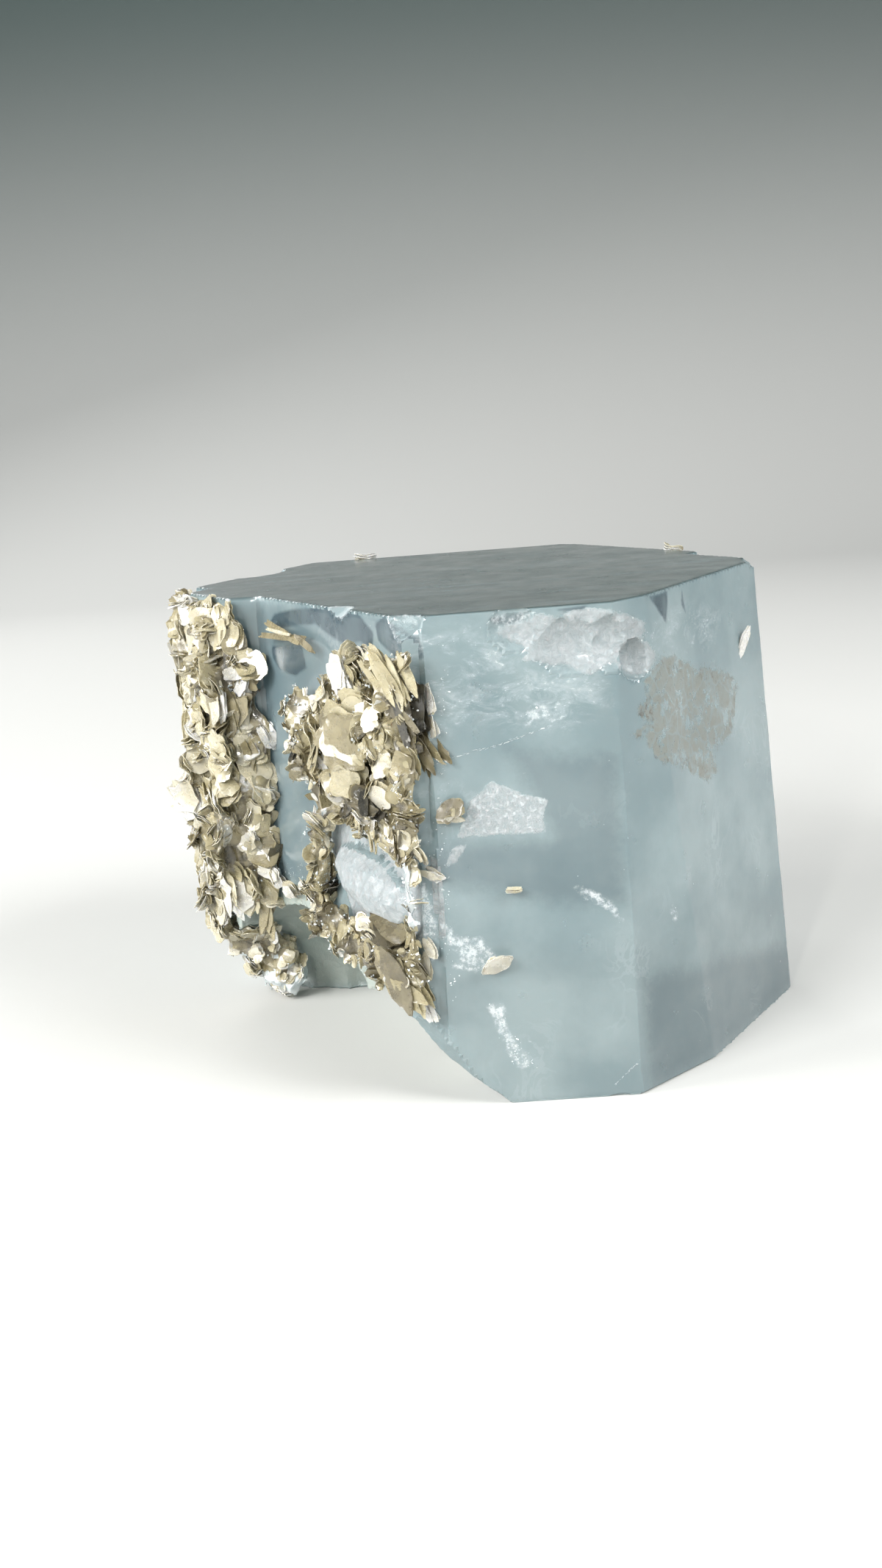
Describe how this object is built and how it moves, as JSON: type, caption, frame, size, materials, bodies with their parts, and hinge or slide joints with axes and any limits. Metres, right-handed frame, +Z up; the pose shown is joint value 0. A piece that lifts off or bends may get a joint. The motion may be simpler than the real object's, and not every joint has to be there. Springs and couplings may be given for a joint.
{
  "type": "aquamarine crystal",
  "caption": "Stubby six-sided aquamarine crystal on a broken foot, with mica crusted over its left edge and front left edge and loose flakes on its faces.",
  "frame": {"origin": "middle of the underside of the specimen's bounding box, on the plane of the broken foot", "axes": "+Z up along the prism's long growth axis; -Y out of the prism's front side; +X to the viewer's right"},
  "size_m": [0.067, 0.07, 0.0475],
  "materials": {
    "beryl": "milky, see-through pale blue beryl with glassy natural faces",
    "mica": "pearly champagne muscovite"
  },
  "bodies": {
    "root": {"aquamarine_crystal": "beryl", "muscovite_front_belt": "mica", "muscovite_left_rim": "mica", "muscovite_flake_front": "mica", "muscovite_flake_beside_belt": "mica", "muscovite_sliver_front": "mica", "muscovite_sliver_left": "mica", "muscovite_flake_right_edge": "mica", "muscovite_flake_back_left": "mica", "muscovite_flake_back_right": "mica"}
  },
  "joints": []
}
